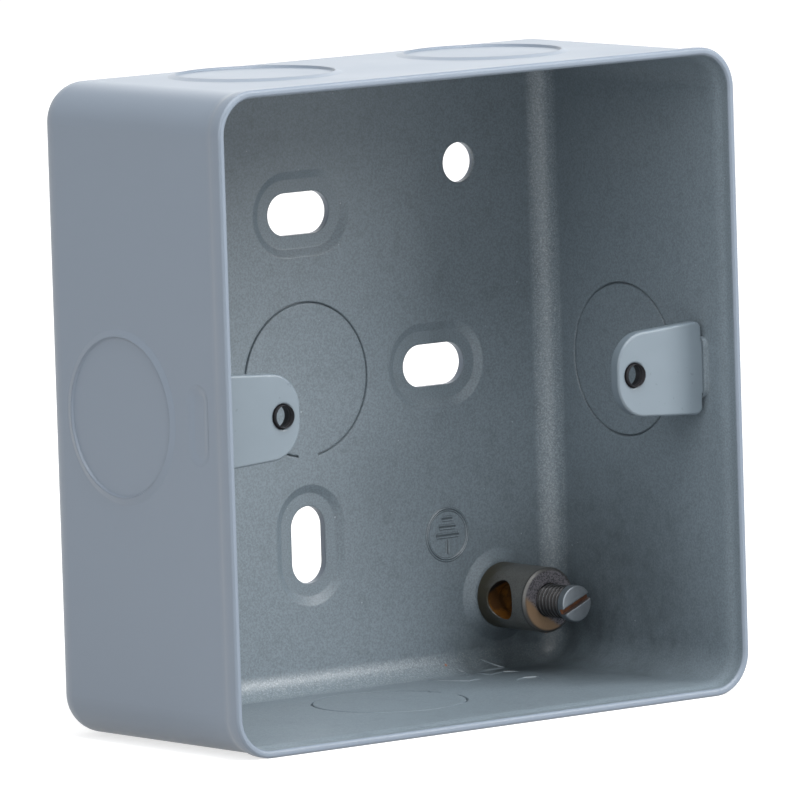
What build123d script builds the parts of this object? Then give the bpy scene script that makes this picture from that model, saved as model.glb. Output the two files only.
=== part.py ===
from build123d import *
from math import asin, atan2, cos, degrees, radians, sin, tan
import os

# One-gang surface back box in pressed sheet steel, with faceplate lugs and an earth terminal.
# The origin is the middle of the plane in which the box meets the wall. +Y goes into the wall, the mouth
# faces -Y and +Z is up. A depth is measured from that plane towards the mouth, so depth d is y = -d.

# Overall sizes of the box, in millimetres.
box_size = 88.0
box_depth = 41.0
sheet = 1.0
wall_corner_radius = 5.4
back_bend_radius = 4.1

# The joggled lip round the mouth.
lip_step = 0.35
lip_length = 1.2
joggle_length = 2.2
lip_edge_chamfer = 0.25

# Oval pads pressed out of the back, each with a slot for a wall screw.
pad_rise = 0.6
press_slope = 63.0
slot_length = 10.6
slot_width = 5.8
pad_land = 1.8
slot_offset = 22.6

# Round hole for a fixed wall screw.
fixing_hole_radius = 2.75
fixing_hole_x = 27.6
fixing_hole_z = 27.4

# Knockouts: a disc sheared almost free inside a raised rim and pushed back flush, held by one tie.
knockout_radius = 10.5
knockout_rim_width = 1.2
knockout_rim_height = 0.35
knockout_rim_drop = 0.2
shear_width = 0.3
shear_depth = 0.5
tie_width = 3.4
side_knockout_depth = 17.6
top_knockout_x = 19.5

# Boss pressed into the box under the earth terminal.
terminal_side_inset = 11.5
terminal_bottom_inset = 11.4
boss_radius = 6.4
boss_rise = 0.8

# Seats pressed into the side walls for the lugs.
seat_length = 10.6
seat_width = 4.2
seat_push = 0.6
seat_slope = 50.0
seat_top_length = 8.4
seat_top_width = 2.8

# Faceplate lugs: tapered plates with a tapped hole, each held by a tab that is spread into its seat.
lug_pitch = 60.3
lug_setback = 6.0
lug_sheet = 1.7
lug_root_width = 12.8
lug_tip_width = 11.0
lug_tip_margin = 2.9
lug_tip_radius = 4.8
lug_root_radius = 1.1
lug_edge_chamfer = 0.2
lug_hole_radius = 1.55
lug_mouth_chamfer = 0.3
tab_length = 7.0
tab_clearance = 0.05
stake_height = 0.25

# Earth terminal: a turned post, riveted through the boss, and its clamp screw.
post_radius = 4.5
post_length = 10.1
post_chamfer = 0.35
tail_radius = 2.5
rivet_radius = 3.6
rivet_height = 0.8
rivet_chamfer = 0.4
wire_hole_radius = 2.7
wire_hole_setback = 5.3
screw_radius = 2.3
screw_clearance = 0.05
screw_shank = 7.5
screw_tip_chamfer = 0.4
screw_head_radius = 2.5
screw_head_height = 1.3
screw_head_edge = 0.2
screw_slot_width = 0.8
screw_slot_depth = 0.8
screw_slot_angle = 23.0
screw_open = 4.7
bore_end_margin = 0.3

# Places worked out from the sizes.
back_outer = pad_rise
back_inner = back_outer + sheet
wall_outer = box_size / 2 - lip_step
wall_inner = wall_outer - sheet
slope_shift = sheet * (1 - sin(radians(press_slope))) / cos(radians(press_slope))
pad_length = slot_length + 2 * pad_land
pad_width = slot_width + 2 * pad_land
knockout_rim_radius = knockout_radius + knockout_rim_width
tie_angle = degrees(asin(tie_width / 2 / knockout_radius))
terminal_x = box_size / 2 - terminal_side_inset
terminal_z = terminal_bottom_inset - box_size / 2
boss_top = back_inner + boss_rise
seat_run = seat_push * tan(radians(seat_slope))
seat_floor_length = seat_length - 2 * seat_run
seat_floor_width = seat_width - 2 * seat_run
lug_front = box_depth - lug_setback
lug_back = lug_front - lug_sheet
lug_middle = lug_front - lug_sheet / 2
post_front = boss_top + post_length
wire_hole_depth = post_front - wire_hole_setback
screw_head_under = post_front + screw_open
pad_places = [(0, slot_offset, 0), (slot_offset, 0, 0), (0, -slot_offset, 90)]


def depth_plane(depth):
    """Plane parallel to the wall: local x is X, local y is Z and the normal faces the mouth."""
    return Plane.XZ.offset(depth)


def knockout_plane(direction, along, depth, tie):
    """Plane on the inner face of a wall, centred on its knockout, with local x towards the tie."""
    middle = Vector(*direction) * wall_inner + Vector(*along) - Vector(0, depth, 0)
    return Plane(origin=middle, x_dir=tie, z_dir=direction)


def back_knockout_plane():
    """The same on the back."""
    return Plane(origin=(0, -back_inner, 0), x_dir=(0, 0, -1), z_dir=(0, 1, 0))


def radial_plane(place):
    """Plane through a knockout's axis, just past its tie: local x is radial and local y points outwards."""
    radial = place.x_dir.rotate(Axis(place.origin, place.z_dir), tie_angle)
    return Plane(origin=place.origin, x_dir=radial, z_dir=radial.cross(place.z_dir))


knockout_planes = [
    back_knockout_plane(),
    knockout_plane((1, 0, 0), (0, 0, 0), side_knockout_depth, (0, -1, 0)),
    knockout_plane((-1, 0, 0), (0, 0, 0), side_knockout_depth, (0, -1, 0)),
    knockout_plane((0, 0, -1), (0, 0, 0), side_knockout_depth, (1, 0, 0)),
    knockout_plane((0, 0, 1), (top_knockout_x, 0, 0), side_knockout_depth, (1, 0, 0)),
    knockout_plane((0, 0, 1), (-top_knockout_x, 0, 0), side_knockout_depth, (-1, 0, 0)),
]

# Box: a quarter of the wall ring is swept with its bend, joggle and lip, and mirrored twice.
joggle_start = box_depth - lip_length - joggle_length
joggle_end = box_depth - lip_length
joggle_middle = (joggle_start + joggle_end) / 2
joggle_turn = 2 * atan2(lip_step, joggle_length)

with BuildPart() as box_shell:
    with BuildLine(depth_plane(0)) as wall_route:
        Line((wall_outer, 0), (wall_outer, wall_outer - wall_corner_radius))
        RadiusArc(
            (wall_outer, wall_outer - wall_corner_radius),
            (wall_outer - wall_corner_radius, wall_outer),
            -wall_corner_radius,
        )
        Line((wall_outer - wall_corner_radius, wall_outer), (0, wall_outer))
    with BuildSketch(Plane.XY) as wall_section:
        with BuildLine():
            RadiusArc(
                (wall_outer - back_bend_radius, -back_outer),
                (wall_outer, -back_outer - back_bend_radius),
                back_bend_radius,
            )
            Line((wall_outer, -back_outer - back_bend_radius), (wall_outer, -joggle_start))
            TangentArc(
                (wall_outer, -joggle_start),
                (wall_outer + lip_step / 2, -joggle_middle),
                tangent=(0, -1),
            )
            TangentArc(
                (wall_outer + lip_step / 2, -joggle_middle),
                (wall_outer + lip_step, -joggle_end),
                tangent=(sin(joggle_turn), -cos(joggle_turn)),
            )
            Line((wall_outer + lip_step, -joggle_end), (wall_outer + lip_step, -box_depth))
            offset(amount=sheet, side=Side.RIGHT)
        make_face()
        front_corners = wall_section.vertices().group_by(Axis.Y)[0]
        chamfer(front_corners, lip_edge_chamfer)
    sweep(path=wall_route.line)
    mirror(about=Plane.XY)
    mirror(about=Plane.YZ)
    with BuildSketch(depth_plane(back_outer)):
        flat_back = 2 * (wall_outer - back_bend_radius)
        RectangleRounded(flat_back, flat_back, wall_corner_radius - back_bend_radius)
    extrude(amount=sheet)

    # Pads, pressed towards the wall by their rise, with one slot each.
    for pad_x, pad_z, pad_turn in pad_places:
        with BuildSketch(depth_plane(0)):
            with Locations(Location((pad_x, pad_z), pad_turn)):
                SlotOverall(pad_length + 2 * slope_shift, pad_width + 2 * slope_shift)
        extrude(amount=pad_rise, taper=-press_slope)
        with BuildSketch(depth_plane(sheet)):
            with Locations(Location((pad_x, pad_z), pad_turn)):
                SlotOverall(pad_length, pad_width)
        extrude(amount=pad_rise, taper=-press_slope, mode=Mode.SUBTRACT)
        with BuildSketch(depth_plane(0)):
            with Locations(Location((pad_x, pad_z), pad_turn)):
                SlotOverall(slot_length, slot_width)
        extrude(amount=sheet, mode=Mode.SUBTRACT)

    # Terminal boss, pressed the other way, and the hole for the post's tail.
    with BuildSketch(depth_plane(back_inner)):
        with Locations((terminal_x, terminal_z)):
            Circle(boss_radius)
    extrude(amount=boss_rise, taper=press_slope)
    with BuildSketch(depth_plane(back_outer)):
        with Locations((terminal_x, terminal_z)):
            Circle(boss_radius - slope_shift)
    extrude(amount=boss_rise, taper=press_slope, mode=Mode.SUBTRACT)
    with BuildSketch(depth_plane(back_outer)):
        with Locations((terminal_x, terminal_z)):
            Circle(tail_radius)
        with Locations((fixing_hole_x, fixing_hole_z)):
            Circle(fixing_hole_radius)
    extrude(amount=sheet + boss_rise, mode=Mode.SUBTRACT)

    # Knockouts: a rim turned about the disc's axis outside, and a sheared line inside up to the tie.
    for place in knockout_planes:
        knockout_axis = Axis(place.origin, place.z_dir)
        with BuildSketch(radial_plane(place)):
            with BuildLine():
                Polyline(
                    (knockout_radius, sheet - shear_depth / 2),
                    (knockout_radius, sheet),
                    (knockout_radius + knockout_rim_drop, sheet + knockout_rim_height),
                    (knockout_rim_radius, sheet),
                    (knockout_rim_radius, sheet - shear_depth / 2),
                    close=True,
                )
            make_face()
        revolve(axis=knockout_axis)
        with BuildSketch(radial_plane(place)):
            with BuildLine():
                Polyline(
                    (knockout_radius - shear_width / 2, 0),
                    (knockout_radius, shear_depth),
                    (knockout_radius + shear_width / 2, 0),
                    close=True,
                )
            make_face()
        revolve(axis=knockout_axis, revolution_arc=360 - 2 * tie_angle, mode=Mode.SUBTRACT)

    # Lug seats: pushed in from outside, with a slot that the lug's tab goes through.
    for side in (-1, 1):
        outside = Plane(origin=(side * wall_outer, -lug_middle, 0), x_dir=(0, 0, 1), z_dir=(-side, 0, 0))
        with BuildSketch(outside.offset(sheet)):
            SlotOverall(seat_top_length, seat_top_width)
        extrude(amount=seat_push)
        with BuildSketch(outside):
            SlotOverall(seat_length, seat_width)
        extrude(amount=seat_push, taper=seat_slope, mode=Mode.SUBTRACT)
        with BuildSketch(outside):
            Rectangle(tab_length + 2 * tab_clearance, lug_sheet + 2 * tab_clearance)
        extrude(amount=sheet + seat_push, mode=Mode.SUBTRACT)
box_shell.part.label = "box_shell"

# Right lug: plate, tab and staked end in one pressing.
lug_root = wall_inner - seat_push
lug_tip = lug_pitch / 2 - lug_tip_margin
stake_inner = wall_outer - seat_push

with BuildPart() as lug_right:
    with BuildSketch(depth_plane(lug_back)) as lug_outline:
        with BuildLine():
            Polyline(
                (lug_tip, -lug_tip_width / 2),
                (lug_root, -lug_root_width / 2),
                (lug_root, lug_root_width / 2),
                (lug_tip, lug_tip_width / 2),
                close=True,
            )
        make_face()
        fillet(lug_outline.vertices().group_by(Axis.X)[0], lug_tip_radius)
        fillet(lug_outline.vertices().group_by(Axis.X)[-1], lug_root_radius)
    extrude(amount=lug_sheet)
    chamfer(lug_right.edges().filter_by(Axis.Y, reverse=True), lug_edge_chamfer)
    with BuildSketch(depth_plane(lug_front)):
        with Locations((lug_pitch / 2, 0)):
            Circle(lug_hole_radius)
    extrude(amount=-lug_sheet, mode=Mode.SUBTRACT)
    front_face = lug_right.faces().sort_by(Axis.Y)[0]
    chamfer(front_face.inner_wires().edges(), lug_mouth_chamfer)
    with BuildSketch(depth_plane(lug_back)):
        with Locations(((lug_root - lug_root_radius + stake_inner) / 2, 0)):
            Rectangle(stake_inner - lug_root + lug_root_radius, tab_length)
    extrude(amount=lug_sheet)
    with BuildSketch(Plane(origin=(stake_inner, -lug_middle, 0), x_dir=(0, 0, 1), z_dir=(1, 0, 0))):
        SlotOverall(seat_floor_length - 2 * tab_clearance, seat_floor_width - 2 * tab_clearance)
    extrude(amount=stake_height, taper=-seat_slope)
lug_right.part.label = "lug_right"

# Left lug: the same pressing, mirrored.
with BuildPart() as lug_left:
    mirror(lug_right.part, about=Plane.YZ)
lug_left.part.label = "lug_left"

# Terminal post: turned about an axis along Y, then bored and cross-drilled.
terminal_axis = Axis((terminal_x, 0, terminal_z), (0, -1, 0))
rivet_face = boss_top - sheet - rivet_height
screw_bore = screw_radius + screw_clearance
bore_end = wire_hole_depth - wire_hole_radius - bore_end_margin

with BuildPart() as earth_terminal_post:
    with BuildSketch(Plane.XY.offset(terminal_z)):
        with BuildLine():
            Polyline(
                (terminal_x, -rivet_face),
                (terminal_x + rivet_radius - rivet_chamfer, -rivet_face),
                (terminal_x + rivet_radius, -rivet_face - rivet_chamfer),
                (terminal_x + rivet_radius, -boss_top + sheet),
                (terminal_x + tail_radius, -boss_top + sheet),
                (terminal_x + tail_radius, -boss_top),
                (terminal_x + post_radius, -boss_top),
                (terminal_x + post_radius, -post_front + post_chamfer),
                (terminal_x + post_radius - post_chamfer, -post_front),
                (terminal_x, -post_front),
                close=True,
            )
        make_face()
    revolve(axis=terminal_axis)
    with BuildSketch(depth_plane(bore_end)):
        with Locations((terminal_x, terminal_z)):
            Circle(screw_bore)
    extrude(amount=post_front - bore_end, mode=Mode.SUBTRACT)
    with BuildSketch(Plane.YZ.offset(terminal_x - post_radius)):
        with Locations((-wire_hole_depth, terminal_z)):
            Circle(wire_hole_radius)
    extrude(amount=2 * post_radius, mode=Mode.SUBTRACT)
earth_terminal_post.part.label = "earth_terminal_post"

# Terminal screw, drawn as the photograph has it: opened by screw_open.
screw_tip = screw_head_under - screw_shank
screw_top = screw_head_under + screw_head_height

with BuildPart() as earth_terminal_screw:
    with BuildSketch(Plane.XY.offset(terminal_z)):
        with BuildLine():
            Polyline(
                (terminal_x, -screw_tip),
                (terminal_x + screw_radius - screw_tip_chamfer, -screw_tip),
                (terminal_x + screw_radius, -screw_tip - screw_tip_chamfer),
                (terminal_x + screw_radius, -screw_head_under),
                (terminal_x + screw_head_radius, -screw_head_under),
                (terminal_x + screw_head_radius, -screw_top + screw_head_edge),
                (terminal_x + screw_head_radius - screw_head_edge, -screw_top),
                (terminal_x, -screw_top),
                close=True,
            )
        make_face()
    revolve(axis=terminal_axis)
    with BuildSketch(depth_plane(screw_top)):
        with Locations(Location((terminal_x, terminal_z), screw_slot_angle)):
            Rectangle(2 * screw_head_radius, screw_slot_width)
    extrude(amount=-screw_slot_depth, mode=Mode.SUBTRACT)
earth_terminal_screw.part.label = "earth_terminal_screw"

os.makedirs("parts", exist_ok=True)
for piece in (box_shell, lug_left, lug_right, earth_terminal_post, earth_terminal_screw):
    export_step(piece.part, f"parts/{piece.part.label}.step")
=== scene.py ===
from math import asin, ceil, cos, pi, radians, sin

import bpy
from mathutils import Matrix, Vector


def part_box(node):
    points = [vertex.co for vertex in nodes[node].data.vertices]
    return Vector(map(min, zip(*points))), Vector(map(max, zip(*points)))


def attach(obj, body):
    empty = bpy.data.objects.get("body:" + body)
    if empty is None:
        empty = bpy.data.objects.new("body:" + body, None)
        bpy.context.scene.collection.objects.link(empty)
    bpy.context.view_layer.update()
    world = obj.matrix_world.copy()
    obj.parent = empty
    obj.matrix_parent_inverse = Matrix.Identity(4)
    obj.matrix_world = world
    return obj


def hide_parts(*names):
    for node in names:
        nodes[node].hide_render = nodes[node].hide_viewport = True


# A surface back box in painted sheet steel: the CAD solids get their paint and metal here, and the
# small relief, threads and wear that the solids leave out are modelled around them. Lengths are metres,
# except inside the materials, where places on a surface are in millimetres.
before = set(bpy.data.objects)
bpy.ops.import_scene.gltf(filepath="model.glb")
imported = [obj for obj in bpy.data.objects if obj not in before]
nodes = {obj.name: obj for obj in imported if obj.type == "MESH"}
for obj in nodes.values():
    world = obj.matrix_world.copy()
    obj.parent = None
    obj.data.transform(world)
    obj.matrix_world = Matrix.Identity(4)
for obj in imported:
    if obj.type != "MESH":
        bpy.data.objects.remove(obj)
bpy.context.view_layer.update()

MM = 0.001
shell_low, shell_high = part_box("box_shell")
post_low, post_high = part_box("earth_terminal_post")
screw_low, screw_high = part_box("earth_terminal_screw")
lug_low, lug_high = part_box("lug_right")

# Places in the box that the looks depend on, in the frame's own axes.
SHEET = 1.0 * MM
PAD_RISE = 0.6 * MM
LIP_STEP = 0.35 * MM
WALL_CORNER_RADIUS = 5.4 * MM
BACK_BEND_RADIUS = 4.1 * MM
BACK_INNER = -(PAD_RISE + SHEET)
WALL_OUTER = shell_high.x - LIP_STEP
WALL_INNER = WALL_OUTER - SHEET
BOX_FRONT = shell_low.y

LUG_PITCH = 60.3 * MM
LUG_HOLE_RADIUS = 1.55 * MM
LUG_HOLE_LENGTH = 1.4 * MM
LUG_MOUTH = 0.3 * MM

TERMINAL = Vector(((post_low.x + post_high.x) / 2, 0, (post_low.z + post_high.z) / 2))
POST_RADIUS = (post_high.x - post_low.x) / 2
POST_FRONT = post_low.y

# The small step between a piece's foot and the face of the solid beside it.
SKIN = 0.01 * MM

# The camera, fitted to the photograph's 800 pixel square.
PHOTO_PIXELS = 800
CAMERA_AZIMUTH = -38.4951
CAMERA_ELEVATION = 6.2331
CAMERA_ROLL = -1.7474
CAMERA_DISTANCE = 1.62457
CAMERA_FOCUS = 11909.65
CAMERA_AIM = Vector((0.0166233, -0.001, -0.0043447))


def direction(azimuth, elevation):
    """The way out from the box at these angles in radians, 0 being straight out of its mouth."""
    return Vector((sin(azimuth) * cos(elevation), -cos(azimuth) * cos(elevation), sin(elevation)))


def make_camera():
    """A long lens at the photograph's angle, aimed through the middle of the frame."""
    back = direction(radians(CAMERA_AZIMUTH), radians(CAMERA_ELEVATION))
    right = (-back).cross(Vector((0, 0, 1))).normalized()
    up = right.cross(-back)
    roll = radians(CAMERA_ROLL)
    rolled_right = right * cos(roll) + up * sin(roll)
    rolled_up = up * cos(roll) - right * sin(roll)
    data = bpy.data.cameras.new("camera")
    data.sensor_width = 36
    data.lens = CAMERA_FOCUS * data.sensor_width / PHOTO_PIXELS
    data.clip_start = 0.1
    data.clip_end = 20
    camera = bpy.data.objects.new("camera", data)
    turn = Matrix((rolled_right, rolled_up, back)).transposed()
    camera.matrix_world = Matrix.Translation(CAMERA_AIM + back * CAMERA_DISTANCE) @ turn.to_4x4()
    bpy.context.scene.collection.objects.link(camera)
    bpy.context.scene.camera = camera


class Shader:
    """The node tree of a material or the world, with a short way to add each kind of node."""

    def __init__(self, owner, output="OutputMaterial"):
        owner.use_nodes = True
        self.owner = owner
        self.tree = owner.node_tree
        self.tree.nodes.clear()
        self.output = self.node(output)

    def node(self, kind, values=None, **settings):
        """A node of this kind. A value is a number, a tuple or the socket to link from."""
        node = self.tree.nodes.new("ShaderNode" + kind)
        for name, value in settings.items():
            setattr(node, name, value)
        for name, value in (values or {}).items():
            if isinstance(value, bpy.types.NodeSocket):
                self.tree.links.new(value, node.inputs[name])
            else:
                node.inputs[name].default_value = value
        return node

    def math(self, operation, first, second=0.0):
        return self.node("Math", {0: first, 1: second}, operation=operation).outputs[0]

    def add(self, first, second):
        return self.math("ADD", first, second)

    def subtract(self, first, second):
        return self.math("SUBTRACT", first, second)

    def times(self, first, second):
        return self.math("MULTIPLY", first, second)

    def length(self, first, second):
        """The length of a vector with these two parts."""
        return self.math("SQRT", self.add(self.times(first, first), self.times(second, second)))

    def place(self):
        """The point on the surface in millimetres, in the frame's axes."""
        coordinates = self.node("TexCoord").outputs["Object"]
        scaled = self.node("VectorMath", {0: coordinates, 1: (1 / MM, 1 / MM, 1 / MM)}, operation="MULTIPLY")
        return scaled.outputs[0]

    def split(self, vector):
        return self.node("SeparateXYZ", {0: vector}).outputs

    def noise(self, vector, scale, detail, roughness=0.5):
        """Noise from 0 to 1 with this many cells to the millimetre."""
        values = {"Vector": vector, "Scale": scale, "Detail": detail, "Roughness": roughness}
        return self.node("TexNoise", values).outputs["Fac"]

    def band(self, value, low, high, start, end):
        """The value's place between low and high, as a number from start to end."""
        values = {"Value": value, "From Min": low, "From Max": high, "To Min": start, "To Max": end}
        return self.node("MapRange", values).outputs["Result"]

    def step(self, value, low, high):
        """Smoothly 0 up to low and 1 from high on."""
        values = {"Value": value, "From Min": low, "From Max": high}
        return self.node("MapRange", values, interpolation_type="SMOOTHSTEP").outputs["Result"]

    def fade(self, value, low, high):
        """Smoothly 1 up to low and 0 from high on."""
        return self.subtract(1.0, self.step(value, low, high))

    def blend(self, share, first, second):
        """Mixes two colours."""
        return self.node("Mix", {0: share, 6: first, 7: second}, data_type="RGBA").outputs[2]

    def near_spot(self, place, spot, reach):
        """1 at this place and 0 this far from it, both in millimetres."""
        apart = self.node("VectorMath", {0: place, 1: spot}, operation="DISTANCE").outputs["Value"]
        return self.fade(apart, reach * 0.3, reach)

    def soft_edges(self, radius):
        """The normal with the solid's sharp edges rounded off, as paint rounds them."""
        return self.node("Bevel", {"Radius": radius}, samples=4).outputs["Normal"]

    def bump(self, height, distance, strength, normal=None):
        """Relief of this height in metres."""
        values = {"Height": height, "Distance": distance, "Strength": strength}
        if normal is not None:
            values["Normal"] = normal
        return self.node("Bump", values).outputs["Normal"]

    def seen(self):
        """1 for rays from the camera, from gloss and through glass, and 0 for plain light."""
        rays = self.node("LightPath").outputs
        reflected = self.math("MAXIMUM", rays["Is Glossy Ray"], rays["Is Transmission Ray"])
        return self.math("MAXIMUM", rays["Is Camera Ray"], reflected)

    def surface(self, socket):
        self.tree.links.new(socket, self.output.inputs["Surface"])

    def finish(self, **values):
        """The surface itself, with the Principled shader's own inputs by name."""
        named = {name.replace("_", " "): value for name, value in values.items()}
        self.surface(self.node("BsdfPrincipled", named).outputs[0])
        return self.owner


def material_shader(name):
    return Shader(bpy.data.materials.new(name))


def colour(red, green, blue):
    """A colour given as it shows on a screen, from 0 to 255, in the linear form that shaders take."""
    channels = []
    for shown in (red / 255, green / 255, blue / 255):
        channels.append(shown / 12.92 if shown <= 0.04045 else ((shown + 0.055) / 1.055) ** 2.4)
    return (*channels, 1.0)


OUTER_PAINT = colour(113, 124, 137)
OUTER_PAINT_LIGHT = colour(120, 131, 144)
INNER_DARK = colour(100, 111, 119)
INNER_LIGHT = colour(117, 129, 137)
# Painted highlight: light flecks where light catches the grainy bends.
BEND_HIGHLIGHT = colour(140, 149, 154)
DUST = colour(176, 184, 190)
RUST = colour(150, 96, 70)
# Darker paint, for random stains and for painted shade in the lower right and along the sign's pressed
# lines.
STAIN_AND_SHADE = colour(52, 60, 64)
# Painted highlight: the lifted folds of paint, lighter than the painted shade round them.
LIFTED_PAINT_HIGHLIGHT = colour(112, 122, 129)
PAINT_IOR = 1.5

# Rust inside the box, and painted shade in the lower right corner and on the lower right wall: each a place
# and a reach in millimetres, and for a shade spot its strength.
RUST_SPOTS = [
    ((22.3, -2.2, -41.3), 0.3),
    ((40.5, -1.8, -38.6), 0.35),
]
PAINTED_SHADE_SPOTS = [
    ((39.0, -3.0, -41.5), 13.0, 0.6),
    ((29.0, -3.0, -41.0), 8.0, 0.6),
    ((42.6, -14.0, -36.0), 28.0, 0.5),
]


def inside_share(s, x, y, z):
    """1 on the faces of the sheet that look into the box, and 0 on those that look out of it."""
    core = (WALL_OUTER - WALL_CORNER_RADIUS) / MM
    bend = BACK_BEND_RADIUS / MM
    over_x = s.subtract(x, s.math("MAXIMUM", s.math("MINIMUM", x, core), -core))
    over_z = s.subtract(z, s.math("MAXIMUM", s.math("MINIMUM", z, core), -core))
    over = s.length(over_x, over_z)
    from_wall = s.subtract(WALL_CORNER_RADIUS / MM, over)
    from_back = s.subtract(-PAD_RISE / MM, y)
    near_wall = s.math("MAXIMUM", s.subtract(bend, from_wall), 0.0)
    near_back = s.math("MAXIMUM", s.subtract(bend, from_back), 0.0)
    near = s.math("MAXIMUM", s.length(near_wall, near_back), 0.001)
    depth = s.subtract(bend, near)
    normal = s.split(s.node("NewGeometry").outputs["Normal"])
    sideways = s.add(s.times(over_x, normal[0]), s.times(over_z, normal[2]))
    sideways = s.math("DIVIDE", sideways, s.math("MAXIMUM", over, 0.001))
    outward = s.add(s.times(near_wall, sideways), s.times(near_back, normal[1]))
    outward = s.math("DIVIDE", outward, near)
    side = s.subtract(s.subtract(depth, SHEET / MM / 2), s.times(outward, 0.6))
    behind_rim = s.step(y, BOX_FRONT / MM + 0.1, BOX_FRONT / MM + 0.5)
    return s.times(s.step(side, -0.02, 0.02), behind_rim)


def bend_share(s, x, y, z):
    """1 in the bends between the back and the walls, fading out over their edges."""
    bend = BACK_BEND_RADIUS / MM
    bend_start = -PAD_RISE / MM - bend
    furthest = s.math("MAXIMUM", s.math("ABSOLUTE", x), s.math("ABSOLUTE", z))
    near_wall = s.fade(s.subtract(WALL_OUTER / MM, furthest), bend - 0.6, bend)
    near_back = s.step(y, bend_start, bend_start + 0.7)
    return s.times(near_wall, near_back)


def grainy_paint(s, grain):
    """The thin paint inside the box, before any wear."""
    return s.blend(s.step(grain, 0.3, 0.7), INNER_DARK, INNER_LIGHT)


def wear_and_painted_light(s, place, grain, in_bend):
    """The paint inside the box with stains, rust and dust, painted highlights flecked along the bends and
    painted shade low on the right.
    """
    blotch = s.noise(place, 0.35, 4, 0.65)
    paint = s.blend(s.times(s.step(blotch, 0.5, 0.75), 0.15), grainy_paint(s, grain), STAIN_AND_SHADE)
    # Painted highlight: light flecks in the bends between the back and the walls.
    fleck = s.step(s.noise(place, 4.4, 2, 0.7), 0.46, 0.68)
    paint = s.blend(s.times(in_bend, fleck), paint, BEND_HIGHLIGHT)
    # Painted shade, patchy, in the lower right corner and low on the right wall.
    for spot, reach, strength in PAINTED_SHADE_SPOTS:
        patchy = s.band(blotch, 0.35, 0.65, strength * 0.6, strength)
        paint = s.blend(s.times(s.near_spot(place, spot, reach), patchy), paint, STAIN_AND_SHADE)
    for spot, reach in RUST_SPOTS:
        paint = s.blend(s.near_spot(place, spot, reach), paint, RUST)
    dust = s.step(s.noise(place, 1.6, 1, 0.4), 0.81, 0.85)
    return s.blend(s.times(dust, 0.6), paint, DUST)


def box_paint():
    """Grey paint: smooth and half glossy outside; thin, grainy and worn inside, with painted highlights in
    the bends and painted shade in the lower right.
    """
    s = material_shader("box_paint")
    place = s.place()
    x, y, z = s.split(place)
    inside = inside_share(s, x, y, z)
    in_bend = bend_share(s, x, y, z)
    cloud = s.noise(place, 0.05, 3)
    grain = s.noise(place, 4.0, 2, 0.6)
    outer = s.blend(s.times(cloud, 0.3), OUTER_PAINT, OUTER_PAINT_LIGHT)
    base = s.blend(inside, outer, wear_and_painted_light(s, place, grain, in_bend))
    roughness = s.add(s.times(inside, 0.02), s.band(cloud, 0.3, 0.7, 0.36, 0.42))
    peel = s.bump(s.noise(place, 0.3, 1), 0.01 * MM, 0.4, s.soft_edges(0.35 * MM))
    grit_strength = s.times(inside, s.add(s.times(in_bend, 0.3), 0.5))
    grit = s.bump(grain, 0.05 * MM, grit_strength, peel)
    return s.finish(Base_Color=base, Roughness=roughness, Normal=grit, IOR=PAINT_IOR)


def sign_paint():
    """The inner paint, with painted shade along the bottom of a pressed line."""
    s = material_shader("sign_paint")
    place = s.place()
    y = s.split(place)[1]
    grain = s.noise(place, 4.0, 2, 0.6)
    height = s.subtract(BACK_INNER / MM, y)
    # Painted shade along the bottom of each pressed line.
    low = s.fade(height, 0.02, SIGN_BURR / MM * 0.7)
    base = s.blend(s.times(low, 0.75), grainy_paint(s, grain), STAIN_AND_SHADE)
    grit = s.bump(grain, 0.05 * MM, 0.5)
    return s.finish(Base_Color=base, Roughness=0.4, Normal=grit, IOR=PAINT_IOR)


def crease_highlight_paint():
    """Lifted paint, in a lighter colour that stands as a painted highlight on the folds."""
    s = material_shader("crease_highlight_paint")
    return s.finish(Base_Color=LIFTED_PAINT_HIGHLIGHT, Roughness=0.4, IOR=PAINT_IOR)


LUG_DARK = colour(103, 115, 124)
LUG_LIGHT = colour(109, 121, 130)
LUG_CHIP = colour(86, 98, 108)
HOLE_STEEL = colour(40, 39, 42)


def lug_paint():
    """Thicker, glossier grey paint on the lugs, and the box's own paint over their spread tabs."""
    s = material_shader("lug_paint")
    place = s.place()
    x, y, z = s.split(place)
    from_middle = s.math("ABSOLUTE", x)
    on_tab = s.step(from_middle, WALL_INNER / MM - 0.1, WALL_INNER / MM)
    base = s.blend(s.noise(place, 0.25, 2), LUG_DARK, LUG_LIGHT)
    base = s.blend(on_tab, base, OUTER_PAINT)

    radius = s.length(s.subtract(from_middle, LUG_PITCH / MM / 2), z)
    hole_edge = LUG_HOLE_RADIUS / MM + 0.13
    behind_front = s.step(s.subtract(y, lug_low.y / MM), 0.02, 0.06)
    in_hole = s.times(behind_front, s.fade(radius, hole_edge, hole_edge + 0.06))
    base = s.blend(in_hole, base, HOLE_STEEL)

    chips = s.step(s.noise(place, 1.1, 1, 0.4), 0.73, 0.77)
    chips = s.times(chips, s.subtract(1.0, on_tab))
    base = s.blend(s.times(chips, 0.5), base, LUG_CHIP)
    roughness = s.band(in_hole, 0.0, 1.0, 0.34, 0.5)
    peel = s.bump(s.noise(place, 0.7, 1), 0.012 * MM, 0.4, s.soft_edges(0.35 * MM))
    return s.finish(Base_Color=base, Roughness=roughness, Normal=peel, IOR=PAINT_IOR)


PLATED_DARK = colour(100, 102, 101)
PLATED_LIGHT = colour(118, 118, 115)
PLATED_FLECK = colour(72, 69, 61)
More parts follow.
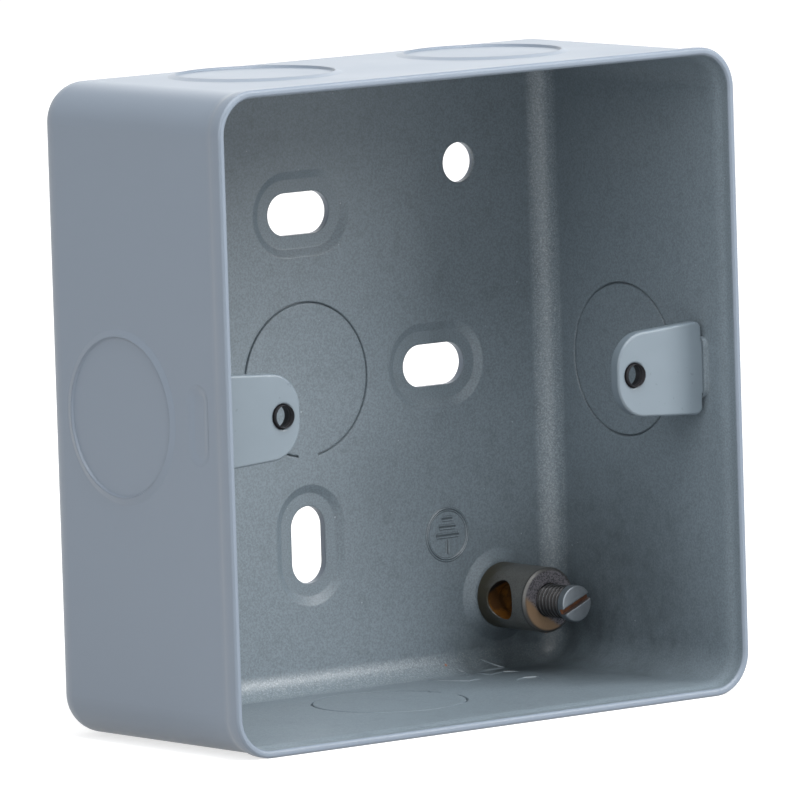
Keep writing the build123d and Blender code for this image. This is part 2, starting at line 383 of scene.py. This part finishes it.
# Painted shade at the post's foot.
POST_FOOT_SHADE = colour(76, 72, 60)
POST_RIM = colour(66, 66, 66)
WIRE_HOLE_GOLD = colour(150, 100, 40)
WIRE_HOLE_BROWN = colour(92, 62, 34)
WIRE_HOLE_SHADE = colour(40, 40, 42)
FACE_DARK = colour(62, 62, 66)
FACE_LIGHT = colour(116, 114, 120)
FACE_COPPER = colour(140, 116, 92)


def from_terminal_axis(s, x, z):
    """The distances across and up from the terminal's axis."""
    return s.subtract(x, TERMINAL.x / MM), s.subtract(z, TERMINAL.z / MM)


def post_side_metal(s, cloud, fleck, from_front):
    """Dull plating with brown flecks, and painted shade, dark and brown, towards the foot."""
    plated = s.blend(cloud, PLATED_DARK, PLATED_LIGHT)
    plated = s.blend(s.times(s.step(fleck, 0.45, 0.65), 0.4), plated, PLATED_FLECK)
    # Painted shade: darker and browner towards the foot, where the post meets the back.
    foot = s.step(s.add(from_front, s.times(cloud, 4.0)), 7.5, 11.0)
    return s.blend(foot, plated, POST_FOOT_SHADE)


def wire_hole_metal(s, cloud, across, up):
    """Bare brass in the wire hole, with painted shadow at its upper left."""
    brass = s.blend(s.step(cloud, 0.35, 0.6), WIRE_HOLE_GOLD, WIRE_HOLE_BROWN)
    # Painted shadow at the upper left of the wire hole.
    upper_left = s.step(s.add(s.times(up, 0.8), s.times(across, -0.5)), 2.4, 3.0)
    return s.blend(upper_left, brass, WIRE_HOLE_SHADE)


def post_face_metal(s, cloud, fleck, across, up):
    """The speckled end of the post, worn to copper at its lower left."""
    speckled = s.blend(s.step(fleck, 0.35, 0.6), FACE_DARK, FACE_LIGHT)
    lower_left = s.add(s.add(s.times(across, -0.6), s.times(up, -0.8)), s.times(cloud, 1.2))
    return s.blend(s.step(lower_left, 2.2, 3.0), speckled, FACE_COPPER)


def terminal_metal():
    """Plated brass gone dull, with painted shade at the foot, and golden in the wire hole."""
    s = material_shader("terminal_metal")
    place = s.place()
    x, y, z = s.split(place)
    across, up = from_terminal_axis(s, x, z)
    radius = s.length(across, up)
    from_front = s.subtract(y, POST_FRONT / MM)
    cloud = s.noise(place, 0.5, 4, 0.6)
    fleck = s.noise(place, 5.0, 2, 0.6)
    edge = POST_RADIUS / MM

    in_hole = s.times(s.fade(radius, edge - 0.25, edge - 0.15), s.step(from_front, 0.2, 0.3))
    on_face = s.fade(from_front, 0.05, 0.12)
    rim = s.times(s.step(radius, edge - 0.6, edge - 0.3), s.fade(from_front, 0.5, 0.8))
    side = post_side_metal(s, cloud, fleck, from_front)
    base = s.blend(in_hole, side, wire_hole_metal(s, cloud, across, up))
    base = s.blend(on_face, base, post_face_metal(s, cloud, fleck, across, up))
    base = s.blend(s.times(rim, 0.75), base, POST_RIM)
    roughness = s.band(on_face, 0.0, 1.0, 0.42, 0.55)
    grit_strength = s.add(s.times(on_face, 0.8), 0.15)
    grit = s.bump(fleck, 0.06 * MM, grit_strength, s.soft_edges(0.2 * MM))
    return s.finish(Base_Color=base, Metallic=0.6, Roughness=roughness, Normal=grit)


# The clamp screw. Its slot is turned this far from level, as seen from the front.
SLOT_ANGLE = radians(23)
SLOT_HALF = 0.4 * MM
SCREW_HEAD_RADIUS = (screw_high.x - screw_low.x) / 2
SCREW_HEAD_HEIGHT = 1.3 * MM
SCREW_HEAD_EDGE = 0.25 * MM
SCREW_HEAD_BACK_EDGE = 0.1 * MM
SCREW_SLOT_DEPTH = 0.8 * MM
SCREW_CREST = 2.3 * MM
SCREW_ROOT = 1.98 * MM
SCREW_PITCH = 0.72 * MM
SCREW_SIDES = 72
POINT_LENGTH = 0.5 * MM
POINT_SHARE = 0.8

SCREW_DARK = colour(104, 111, 117)
SCREW_LIGHT = colour(120, 127, 133)
SLOT_RUST = colour(110, 74, 52)
SLOT_RUST_DARK = colour(88, 62, 50)
# Painted shade on the thread behind the head, darkest in its roots.
THREAD_ROOT_SHADE = colour(34, 33, 34)
THREAD_LIGHT = colour(88, 90, 92)


def screw_metal():
    """Plated steel, with rust along the floor of the slot, and painted shade on the thread behind the head,
    darkest in the roots between the threads.
    """
    s = material_shader("screw_metal")
    place = s.place()
    x, y, z = s.split(place)
    across, up = from_terminal_axis(s, x, z)
    from_front = s.subtract(y, screw_low.y / MM)
    cloud = s.noise(place, 1.2, 3)
    base = s.blend(cloud, SCREW_DARK, SCREW_LIGHT)

    over_slot = s.subtract(s.times(up, cos(SLOT_ANGLE)), s.times(across, sin(SLOT_ANGLE)))
    from_slot = s.math("ABSOLUTE", over_slot)
    beside = s.fade(from_slot, SLOT_HALF / MM - 0.02, SLOT_HALF / MM + 0.02)
    below = s.times(s.step(from_front, 0.1, 0.25), s.fade(from_front, 0.85, 0.95))
    rust = s.blend(s.step(cloud, 0.4, 0.6), SLOT_RUST, SLOT_RUST_DARK)
    base = s.blend(s.times(beside, below), base, rust)

    # Painted shade: the roots between the threads are darkest.
    crest = s.step(s.length(across, up), SCREW_ROOT / MM + 0.2, SCREW_CREST / MM)
    worn_crest = s.times(crest, s.band(cloud, 0.3, 0.7, 0.35, 0.9))
    thread = s.blend(worn_crest, THREAD_ROOT_SHADE, THREAD_LIGHT)
    behind_head = s.step(from_front, 1.25, 1.5)
    base = s.blend(behind_head, base, thread)
    grit = s.bump(s.noise(place, 5.0, 2), 0.01 * MM, 0.5)
    return s.finish(Base_Color=base, Metallic=0.75, Roughness=0.42, Normal=grit)


def dress(piece, material):
    """Gives a piece or a CAD node its one material."""
    piece.data.materials.clear()
    piece.data.materials.append(material)


class Surface:
    """Vertices and faces, gathered ring by ring into one piece."""

    def __init__(self):
        self.points = []
        self.faces = []

    def ring(self, points):
        start = len(self.points)
        self.points.extend(points)
        return list(range(start, len(self.points)))

    def join(self, first, second, closed):
        """Quads between two rings with the same number of points."""
        count = len(first)
        for i in range(count if closed else count - 1):
            j = (i + 1) % count
            self.faces.append((first[i], first[j], second[j], second[i]))

    def tube(self, rings, closed=True):
        """Joins each ring of points to the next, and gives the rings as vertex numbers."""
        added = [self.ring(points) for points in rings]
        for first, second in zip(added, added[1:]):
            self.join(first, second, closed)
        return added

    def cap(self, ring):
        self.faces.append(tuple(ring))

    def piece(self, name, sharp):
        """The finished piece, smooth except over edges sharper than this many degrees."""
        mesh = bpy.data.meshes.new(name)
        mesh.from_pydata(self.points, [], self.faces)
        mesh.validate()
        mesh.shade_smooth()
        mesh.set_sharp_from_angle(angle=radians(sharp))
        made = bpy.data.objects.new(name, mesh)
        bpy.context.scene.collection.objects.link(made)
        return made


def side_name(name, side):
    """The name of the left piece, at side -1, or of the right one, at side 1."""
    return name + ("_left" if side < 0 else "_right")


def circle_points(middle, radius, y, count):
    """Points round an axis along Y."""
    angles = [2 * pi * i / count for i in range(count)]
    return [(middle.x + radius * cos(a), y, middle.z + radius * sin(a)) for a in angles]


# A thread's profile: how steep its flanks are, and how far the root starts from the crest's middle.
FLANK_SLOPE = 1.5
ROOT_START = 5 / 6
ROWS_PER_PITCH = 10


def thread_points(middle, y, root, crest, pitch, count):
    """One ring across a thread, whose radius follows the helix."""
    points = []
    for i in range(count):
        phase = (y / pitch + i / count) % 1.0
        from_crest = abs(2 * phase - 1)
        ridge = min(1.0, max(0.0, FLANK_SLOPE * (ROOT_START - from_crest)))
        radius = root + (crest - root) * ridge
        angle = 2 * pi * i / count
        points.append((middle.x + radius * cos(angle), y, middle.z + radius * sin(angle)))
    return points


def shank_rings():
    """Rings along the thread from the screw's tapered tip to the back of its head."""
    tip = screw_high.y
    under_head = screw_low.y + SCREW_HEAD_HEIGHT
    rows = ceil((tip - under_head) / SCREW_PITCH * ROWS_PER_PITCH)
    rings = []
    for row in range(rows + 1):
        y = tip + (under_head - tip) * row / rows
        taper = min(1.0, POINT_SHARE + (1 - POINT_SHARE) * (tip - y) / POINT_LENGTH)
        root = SCREW_ROOT * taper
        crest = SCREW_CREST * taper
        rings.append(thread_points(TERMINAL, y, root, crest, SCREW_PITCH, SCREW_SIDES))
    return rings


def head_rings():
    """Rings round the head, from its back edge forwards to the level of the slot's floor."""
    under_head = screw_low.y + SCREW_HEAD_HEIGHT
    places = [
        (SCREW_HEAD_RADIUS - SCREW_HEAD_BACK_EDGE, under_head),
        (SCREW_HEAD_RADIUS, under_head - SCREW_HEAD_BACK_EDGE),
        (SCREW_HEAD_RADIUS, screw_low.y + SCREW_SLOT_DEPTH),
    ]
    return [circle_points(TERMINAL, radius, y, SCREW_SIDES) for radius, y in places]


def half_head_ring(inset, y, turn):
    """The outline of the half of the head that lies beside the slot, this far in from its edge."""
    radius = SCREW_HEAD_RADIUS - inset
    start = asin((SLOT_HALF + inset * 0.25) / radius)
    steps = SCREW_SIDES // 2
    angles = [start + (pi - 2 * start) * i / steps + turn for i in range(steps + 1)]
    return [(TERMINAL.x + radius * cos(a), y, TERMINAL.z + radius * sin(a)) for a in angles]


def half_head_rings(turn):
    """Outlines of one half of the head, from the slot's floor over its rounded front edge."""
    edge_steps = 4
    rings = [half_head_ring(0.0, screw_low.y + SCREW_SLOT_DEPTH, turn)]
    for step in range(edge_steps + 1):
        angle = pi / 2 * step / edge_steps
        inset = SCREW_HEAD_EDGE * (1 - cos(angle))
        y = screw_low.y + SCREW_HEAD_EDGE * (1 - sin(angle))
        rings.append(half_head_ring(inset, y, turn))
    return rings


def threaded_screw():
    """The clamp screw: thread, slotted head and its rounded edges."""
    surface = Surface()
    rings = surface.tube(shank_rings() + head_rings())
    surface.cap(reversed(rings[0]))
    surface.cap(rings[-1])
    for turn in (SLOT_ANGLE, SLOT_ANGLE + pi):
        surface.cap(surface.tube(half_head_rings(turn))[-1])
    return surface.piece("threaded_screw", 40)


LUG_THREAD_CREST = 1.46 * MM
LUG_THREAD_PITCH = 0.6 * MM
LUG_THREAD_SIDES = 48


def lug_thread(side):
    """The thread in a lug's hole: a ridge that winds inwards from the hole's wall."""
    middle = Vector((side * LUG_PITCH / 2, 0, 0))
    front = lug_low.y + LUG_MOUTH
    root = LUG_HOLE_RADIUS - SKIN
    rows = ceil(LUG_HOLE_LENGTH / LUG_THREAD_PITCH * ROWS_PER_PITCH)
    rings = []
    for row in range(rows + 1):
        y = front + LUG_HOLE_LENGTH * row / rows
        rings.append(thread_points(middle, y, root, LUG_THREAD_CREST, LUG_THREAD_PITCH, LUG_THREAD_SIDES))
    surface = Surface()
    surface.tube(rings)
    return surface.piece(side_name("lug_thread", side), 60)


SEAT_LENGTH = 10.6 * MM
SEAT_WIDTH = 4.2 * MM
SEAT_MIDDLE_Y = (lug_low.y + lug_high.y) / 2
SEAT_SLOPE = 1.3 * MM
SEAT_DEEP = 0.33 * MM
SEAT_SHALLOW = 0.16 * MM
SEAT_SIDES = 40
SEAT_ROWS = 10


def seat_outline(inset):
    """Points round the seat, upright, this far in from its edge, as places along Y and Z."""
    radius = SEAT_WIDTH / 2 - inset
    straight = (SEAT_LENGTH - SEAT_WIDTH) / 2
    points = []
    for i in range(SEAT_SIDES):
        angle = 2 * pi * (i + 0.5) / SEAT_SIDES
        shift = straight if sin(angle) > 0 else -straight
        points.append((SEAT_MIDDLE_Y + radius * cos(angle), radius * sin(angle) + shift))
    return points


def painted_seat(side):
    """The paint over a lug's spread tab: a soft dent in the wall, deepest at the top."""
    rings = []
    for row in range(SEAT_ROWS + 1):
        share = row / SEAT_ROWS
        sunk = share * share * (3 - 2 * share)
        points = []
        for y, z in seat_outline(SEAT_SLOPE * share):
            deep = SEAT_SHALLOW + (SEAT_DEEP - SEAT_SHALLOW) * (z / SEAT_LENGTH + 0.5)
            points.append((side * (WALL_OUTER + SKIN - sunk * deep), y, z))
        rings.append(points)
    surface = Surface()
    surface.cap(surface.tube(rings)[-1])
    return surface.piece(side_name("painted_seat", side), 60)


# The protective earth sign pressed into the back, with its stem downwards.
SIGN_MIDDLE = Vector((23.7, 0, -23.5)) * MM
SIGN_RADIUS = 3.5 * MM
SIGN_SIDES = 72
SIGN_BURR = 0.14 * MM
CIRCLE_LINE = 0.13 * MM
CIRCLE_EDGE = 0.34 * MM
BAR_LINE = 0.27 * MM
BAR_EDGE = 0.42 * MM
# Each bar's half length and height over the middle, and the stem's two ends, in millimetres.
SIGN_BARS = [(2.05, -0.1), (1.5, 1.05), (1.0, 2.2)]
SIGN_STEM = (-0.7, -2.7)


def groove_section(line, edge):
    """Across a pressed line: a burr, the line itself and a burr, as distance across and height."""
    return [(-edge, 0.0), (-line, SIGN_BURR), (0.0, SKIN), (line, SIGN_BURR), (edge, 0.0)]


def pressed_bar(surface, start, end, level):
    """A straight pressed line of the sign between these places round its middle."""
    along = (end - start).normalized()
    sideways = Vector((along.z, 0, -along.x))
    lines = []
    for across, height in groove_section(BAR_LINE, BAR_EDGE):
        inset = along * abs(across) * 0.5
        first = SIGN_MIDDLE + start * MM + sideways * across + inset
        last = SIGN_MIDDLE + end * MM + sideways * across - inset
        lines.append([(p.x, level - height, p.z) for p in (first, last)])
    surface.tube(lines, closed=False)


def earth_sign():
    """The circle, three bars and stem of the sign, each a pressed line with its burrs."""
    surface = Surface()
    level = BACK_INNER + SKIN
    rings = []
    for across, height in groove_section(CIRCLE_LINE, CIRCLE_EDGE):
        rings.append(circle_points(SIGN_MIDDLE, SIGN_RADIUS + across, level - height, SIGN_SIDES))
    surface.tube(rings)
    for half, up in SIGN_BARS:
        pressed_bar(surface, Vector((-half, 0, up)), Vector((half, 0, up)), level)
    top, bottom = SIGN_STEM
    pressed_bar(surface, Vector((0, 0, top)), Vector((0, 0, bottom)), level)
    return surface.piece("earth_sign", 20)


# Lifted flakes and folds of paint low in the box. Each is a line in millimetres, given near the sheet
# and laid on it afterwards.
CREASES = [
    [(16.6, -4.6, -42.65), (17.6, -6.6, -42.65), (20.2, -9.9, -42.65), (23.0, -9.3, -42.65)],
    [(23.8, -2.7, -41.9), (24.4, -3.5, -42.4), (23.9, -5.6, -42.65), (21.8, -7.1, -42.65)],
    [
        (28.4, -2.0, -41.15), (29.8, -2.6, -41.8), (31.3, -3.7, -42.5),
        (30.1, -3.85, -42.5), (26.4, -4.0, -42.6),
    ],
    [(25.85, -4.3, -42.6), (25.9, -7.3, -42.65), (29.0, -6.3, -42.65), (30.8, -7.75, -42.65)],
    [(24.1, -14.7, -42.65), (26.8, -13.3, -42.65), (28.7, -14.0, -42.65), (27.4, -17.3, -42.65)],
    [(10.2, -13.0, -42.65), (9.3, -15.4, -42.65)],
]
CREASE_HALF = 0.16 * MM
CREASE_HEIGHT = 0.15 * MM
CREASE_STEPS = 6
CREASE_TAPER_STEPS = 3


def on_lower_sheet(point):
    """The nearest place on the box's inner floor or its bend into the back, and the normal there."""
    bend_y = -PAD_RISE - BACK_BEND_RADIUS
    bend_z = BACK_BEND_RADIUS - WALL_OUTER
    if point.y <= bend_y:
        return Vector((point.x, point.y, -WALL_INNER)), Vector((0, 0, 1))
    out = Vector((0, point.y - bend_y, point.z - bend_z)).normalized()
    middle = Vector((point.x, bend_y, bend_z))
    return middle + out * (BACK_BEND_RADIUS - SHEET), -out


def crease_path(line):
    """Points in small steps along a crease, in metres."""
    corners = [Vector(p) * MM for p in line]
    path = []
    for start, end in zip(corners, corners[1:]):
        path.extend(start.lerp(end, i / CREASE_STEPS) for i in range(CREASE_STEPS))
    return path + [corners[-1]]


def paint_creases():
    """Low ridges that taper to nothing at both ends, their feet just under the paint."""
    surface = Surface()
    for line in CREASES:
        path = crease_path(line)
        last = len(path) - 1
        feet, tops, far_feet = [], [], []
        for i, point in enumerate(path):
            along = path[min(i + 1, last)] - path[max(i - 1, 0)]
            middle, normal = on_lower_sheet(point)
            size = min(1.0, min(i, last - i) / CREASE_TAPER_STEPS)
            half = along.cross(normal).normalized() * CREASE_HALF * (0.3 + 0.7 * size)
            under = middle - normal * SKIN
            feet.append(tuple(under - half))
            tops.append(tuple(under + half * 0.4 + normal * CREASE_HEIGHT * size))
            far_feet.append(tuple(under + half))
        surface.tube([feet, tops, far_feet], closed=False)
    return surface.piece("paint_creases", 20)


# Lights, each a square with its azimuth and elevation round the box, its side in metres and its power.
LIGHT_DISTANCE = 1.2
LIGHTS = [
    ("overhead", 0, 88, 1.2, 4.4),
    ("behind", 142, 26, 0.8, 1.7),
    ("camera_side_high", -38, 42, 0.8, 2.2),
    ("left_front", -56, 14, 0.6, 3.4),
    ("left_high", -75, 40, 0.8, 2.2),
    ("right_mid", 40, 26, 0.5, 12.2),
    ("front_high", 0, 58, 0.8, 11.0),
]


def make_lights():
    """Soft studio lamps, all turned to the middle of the frame."""
    for name, azimuth, elevation, side, power in LIGHTS:
        data = bpy.data.lights.new(name, "AREA")
        data.shape = "SQUARE"
        data.size = side
        data.energy = power
        light = bpy.data.objects.new(name, data)
        out = direction(radians(azimuth), radians(elevation))
        light.location = out * LIGHT_DISTANCE
        light.rotation_mode = "QUATERNION"
        light.rotation_quaternion = out.to_track_quat("Z", "Y")
        bpy.context.scene.collection.objects.link(light)


WORLD_LEVEL = 0.34


def make_world():
    """White to the camera, to gloss and through glass, and a plain pale level to everything else."""
    world = bpy.data.worlds.new("world")
    bpy.context.scene.world = world
    s = Shader(world, "OutputWorld")
    level = s.band(s.seen(), 0.0, 1.0, WORLD_LEVEL, 1.0)
    s.surface(s.node("Background", {"Color": (1, 1, 1, 1), "Strength": level}).outputs[0])


FLOOR_HALF = 3.0
FLOOR_GAP = 0.02 * MM
FLOOR_GREY = 0.5
FLOOR_LIFT = 0.7


def make_floor():
    """A pale floor under the box, white to the camera where no shadow falls."""
    mesh = bpy.data.meshes.new("floor")
    level = shell_low.z - FLOOR_GAP
    corners = [(-1, -1), (1, -1), (1, 1), (-1, 1)]
    mesh.from_pydata([(x * FLOOR_HALF, y * FLOOR_HALF, level) for x, y in corners], [], [(0, 1, 2, 3)])
    floor = bpy.data.objects.new("floor", mesh)
    bpy.context.scene.collection.objects.link(floor)
    s = material_shader("floor")
    diffuse = s.node("BsdfDiffuse", {"Color": (FLOOR_GREY, FLOOR_GREY, FLOOR_GREY, 1)}).outputs[0]
    lift = s.node("Emission", {"Strength": s.times(s.seen(), FLOOR_LIFT)}).outputs[0]
    s.surface(s.node("AddShader", {0: diffuse, 1: lift}).outputs[0])
    mesh.materials.append(s.owner)


make_camera()
make_lights()
make_world()
make_floor()
bpy.context.scene.view_settings.view_transform = "Standard"

paint = box_paint()
dress(nodes["box_shell"], paint)
gloss = lug_paint()
for side in ("left", "right"):
    dress(nodes["lug_" + side], gloss)
dress(nodes["earth_terminal_post"], terminal_metal())

screw = threaded_screw()
dress(screw, screw_metal())
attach(screw, "terminal_screw")
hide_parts("earth_terminal_screw")
for side in (-1, 1):
    thread = lug_thread(side)
    dress(thread, gloss)
    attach(thread, "box")
    seat = painted_seat(side)
    dress(seat, paint)
    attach(seat, "box")
sign = earth_sign()
dress(sign, sign_paint())
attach(sign, "box")
creases = paint_creases()
dress(creases, crease_highlight_paint())
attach(creases, "box")
